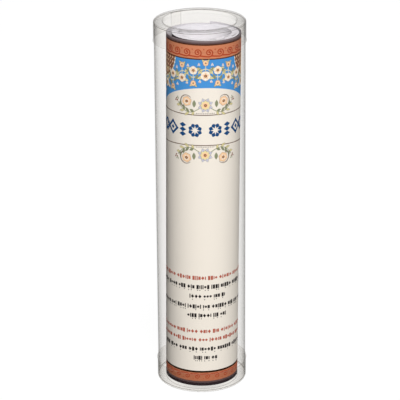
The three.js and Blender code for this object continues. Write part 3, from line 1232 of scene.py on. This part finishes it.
class MEGILLAH_OT_banner(bpy.types.Operator):
    """Print the row of bold ornaments between the garlands"""

    bl_idname = "megillah.banner"
    bl_label = "Banner Ornaments"

    def execute(self, context):
        drawing = Drawing("title")
        layout = drawing.layout
        height = layout.ornament
        middle = drawing.down((layout.banner_top + layout.banner_foot) / 2) - layout.ornament_drop
        ink = drawing.ink("ornaments", "navy")
        pitch = 0.94 * height
        ornaments = (self.rosette, self.column, self.frame)
        for hand in (-1, 1):
            for place in range(5):
                centre = Vector((hand * (0.78 + place) * pitch, middle))
                ornaments[place % 3](ink, centre, height)
        drawing.wrap()
        return {"FINISHED"}

    def rosette(self, ink, centre, height):
        """Eight broad petals round an open middle."""
        for step in range(8):
            angle = FULL_TURN * (step + 0.5) / 8
            ink.petal(centre, angle, 0.14 * height, 0.52 * height, 0.3 * height)

    def column(self, ink, centre, height):
        """Three lozenges one above the other."""
        for step in (-1, 0, 1):
            ink.lozenge(centre + Vector((0, step * 0.34 * height)), 0.56 * height, 0.36 * height)

    def frame(self, ink, centre, height):
        """A lozenge inside a lozenge-shaped frame."""
        corners = [centre + polar(0.45 * height, QUARTER_TURN * step) for step in range(5)]
        for one, other in zip(corners, corners[1:]):
            overrun = (other - one).normalized() * 0.09 * height
            ink.stroke([one - overrun, other + overrun], 0.16 * height)
        ink.lozenge(centre, 0.32 * height, 0.32 * height)


class MEGILLAH_OT_rows(bpy.types.Operator):
    """Print the rows of small plain marks on the lower half of the roll's front and all over its back"""

    bl_idname = "megillah.rows"
    bl_label = "Rows of Marks"

    def execute(self, context):
        drawing = Drawing("row")
        layout = drawing.layout
        chance = random.Random(7)
        reach = 0.46 * layout.arch_pitch
        for place, colour, left, right in FRONT_ROWS:
            self.row(drawing, chance, place, colour, left * reach, right * reach)
        top = drawing.down(layout.arch_top + layout.arch_radius / 3)
        rows = math.floor((top - layout.first_row) / layout.row_pitch)
        margin = 0.54 * layout.arch_pitch
        edge = 2 * layout.print_margin
        for left, right in ((margin, drawing.right - edge), (drawing.left + edge, -margin)):
            for place in range(rows):
                colour = "red" if place % 9 == 8 else "black"
                width = (right - left) * (0.45 if place % 5 == 3 else 1.0)
                self.row(drawing, chance, place, colour, right - width, right)
        drawing.wrap()
        return {"FINISHED"}

    def row(self, drawing, chance, place, colour, left, right):
        """Groups of bars, blocks, lozenges and dots, with narrow gaps between them."""
        ink = drawing.ink(colour, colour)
        height = drawing.layout.first_row + drawing.layout.row_pitch * place
        size = drawing.layout.mark_height
        x = left
        while x < right - size:
            for _ in range(chance.randint(3, 6)):
                kind = chance.choice(("bar", "bar", "block", "block", "lozenge", "dot"))
                width = size * MARK_WIDTH_SHARES[kind]
                if x + width > right:
                    break
                middle = (x + width / 2, height)
                if kind == "lozenge":
                    ink.lozenge(middle, width, 0.92 * size)
                elif kind == "dot":
                    ink.dot(middle, width / 2, steps=10)
                else:
                    ink.block(middle, width, size * chance.choice((0.78, 1.0)))
                if chance.random() < 0.6 and colour == "black":
                    ink.dot((x + width / 2, height - 0.78 * size), 0.12 * size)
                x += width + 0.12 * size
            x += 0.34 * size


class MEGILLAH_OT_studio(bpy.types.Operator):
    """Make the floor, the light and the camera"""

    bl_idname = "megillah.studio"
    bl_label = "Studio"

    def execute(self, context):
        studio = settings().studio
        make_floor(studio)
        make_room_light(studio)
        add_panel("key_light", KEY_PLACE, studio.key_size, studio.key_power)
        add_sun("top_light", TOP_DIRECTION, studio.top_spread, studio.top_strength)
        add_sun("back_light", BACK_DIRECTION, studio.back_spread, studio.back_strength)
        make_camera(studio)
        context.scene.view_settings.view_transform = "Standard"
        context.scene.cycles.transparent_max_bounces = 32
        return {"FINISHED"}


def seen_rays(wiring):
    """1 for rays that show the background: seen directly, mirrored or through glass."""
    path = wiring.node("ShaderNodeLightPath")
    shown = wiring.math("MAXIMUM", path.outputs["Is Camera Ray"], path.outputs["Is Glossy Ray"])
    return wiring.math("MAXIMUM", shown, path.outputs["Is Transmission Ray"])


def floor_look(wiring):
    """Matt white board that reads as white, still takes the object's shadow and mirrors darker."""
    board = wiring.node("ShaderNodeBsdfDiffuse", Color=(0.04, 0.04, 0.04))
    path = wiring.node("ShaderNodeLightPath")
    mirror_loss = wiring.product(path.outputs["Is Glossy Ray"], -0.55)
    lift = wiring.scaled(seen_rays(wiring), 0.965, mirror_loss)
    glow = wiring.node("ShaderNodeEmission", Color=(1, 1, 1), Strength=lift)
    both = wiring.node("ShaderNodeAddShader")
    wiring.feed(both.inputs[0], board)
    wiring.feed(both.inputs[1], glow)
    wiring.finish(both)


def make_floor(studio):
    half = studio.floor_size / 2
    corners = [(-half, -half, 0), (half, -half, 0), (half, half, 0), (-half, half, 0)]
    mesh = bpy.data.meshes.new("floor")
    mesh.from_pydata(corners, [], [(0, 1, 2, 3)])
    mesh.materials.append(material_once("white board", floor_look))
    floor = put_in_scene("floor", mesh)
    floor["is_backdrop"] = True


def make_room_light(studio):
    world = bpy.data.worlds.new("studio")
    bpy.context.scene.world = world
    wiring = Wiring(world)
    soft = wiring.node("ShaderNodeBackground", Color=(1, 1, 1), Strength=studio.room_strength)
    white = wiring.node("ShaderNodeBackground", Color=(1, 1, 1), Strength=1.0)
    mixed = wiring.blend_shaders(seen_rays(wiring), soft, white)
    wiring.node("ShaderNodeOutputWorld", Surface=mixed)


def add_lamp(data, towards):
    """A lamp that shines from the given direction and isn't seen itself."""
    lamp = put_in_scene(data.name, data)
    lamp.rotation_mode = "QUATERNION"
    lamp.rotation_quaternion = Vector(towards).to_track_quat("Z", "Y")
    lamp.visible_glossy = False
    lamp.visible_camera = False
    return lamp


def add_sun(name, towards, spread, strength):
    """A soft light that comes from far away, from the given direction."""
    data = bpy.data.lights.new(name, "SUN")
    data.energy = strength
    data.angle = spread
    add_lamp(data, towards)


def add_panel(name, place, side, power):
    """A square soft light panel that faces the middle of the case."""
    data = bpy.data.lights.new(name, "AREA")
    data.energy = power
    data.size = side
    middle = Vector((0, 0, CASE_HEIGHT / 2))
    add_lamp(data, Vector(place) - middle).location = place


def make_camera(studio):
    data = bpy.data.cameras.new("camera")
    data.lens = studio.lens
    data.sensor_width = 36
    forward = Vector((0, math.cos(studio.camera_pitch), -math.sin(studio.camera_pitch)))
    right = Vector((1, 0, 0))
    up = right.cross(forward)
    turn = Matrix.Rotation(studio.camera_roll, 3, -forward)
    facing = Matrix((turn @ right, turn @ up, -forward)).transposed()
    place = Vector((studio.camera_side, -studio.camera_distance, studio.camera_height))
    camera = put_in_scene("camera", data)
    camera.matrix_world = Matrix.Translation(place) @ facing.to_4x4()
    bpy.context.scene.camera = camera


class MEGILLAH_PT_panel(bpy.types.Panel):
    """Lists the pieces of the megillah case"""

    bl_idname = "MEGILLAH_PT_panel"
    bl_label = "Megillah Case"
    bl_space_type = "VIEW_3D"
    bl_region_type = "UI"
    bl_category = "Megillah Case"

    def draw(self, context):
        for operator in OPERATORS:
            self.layout.operator(operator.bl_idname)
        chosen = context.scene.megillah_case
        for group in (chosen.case, chosen.scroll, chosen.layout, chosen.inks, chosen.studio):
            box = self.layout.box()
            for name in group.bl_rna.properties.keys():
                if name not in ("rna_type", "name"):
                    box.prop(group, name)


OPERATORS = (
    MEGILLAH_OT_tube,
    MEGILLAH_OT_caps,
    MEGILLAH_OT_scroll,
    MEGILLAH_OT_borders,
    MEGILLAH_OT_header,
    MEGILLAH_OT_garlands,
    MEGILLAH_OT_banner,
    MEGILLAH_OT_rows,
    MEGILLAH_OT_studio,
)

CLASSES = (
    MegillahCaseSizes,
    MegillahScrollSizes,
    MegillahPrintSizes,
    MegillahPrintColours,
    MegillahStudioSizes,
    MegillahCaseSettings,
    *OPERATORS,
    MEGILLAH_PT_panel,
)


def register():
    for made in CLASSES:
        bpy.utils.register_class(made)
    bpy.types.Scene.megillah_case = bpy.props.PointerProperty(
        name="Megillah Case", description="Sizes and colours of the megillah case", type=MegillahCaseSettings
    )


def unregister():
    del bpy.types.Scene.megillah_case
    for made in reversed(CLASSES):
        bpy.utils.unregister_class(made)


def main():
    register()
    for operator in OPERATORS:
        name = operator.bl_idname.partition(".")[2]
        getattr(bpy.ops.megillah, name)()
    boxes = {"cad": CAD_BOX, "visual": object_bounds()}
    {name: [list(corner) for corner in box] for name, box in boxes.items()}


if __name__ == "__main__":
    main()
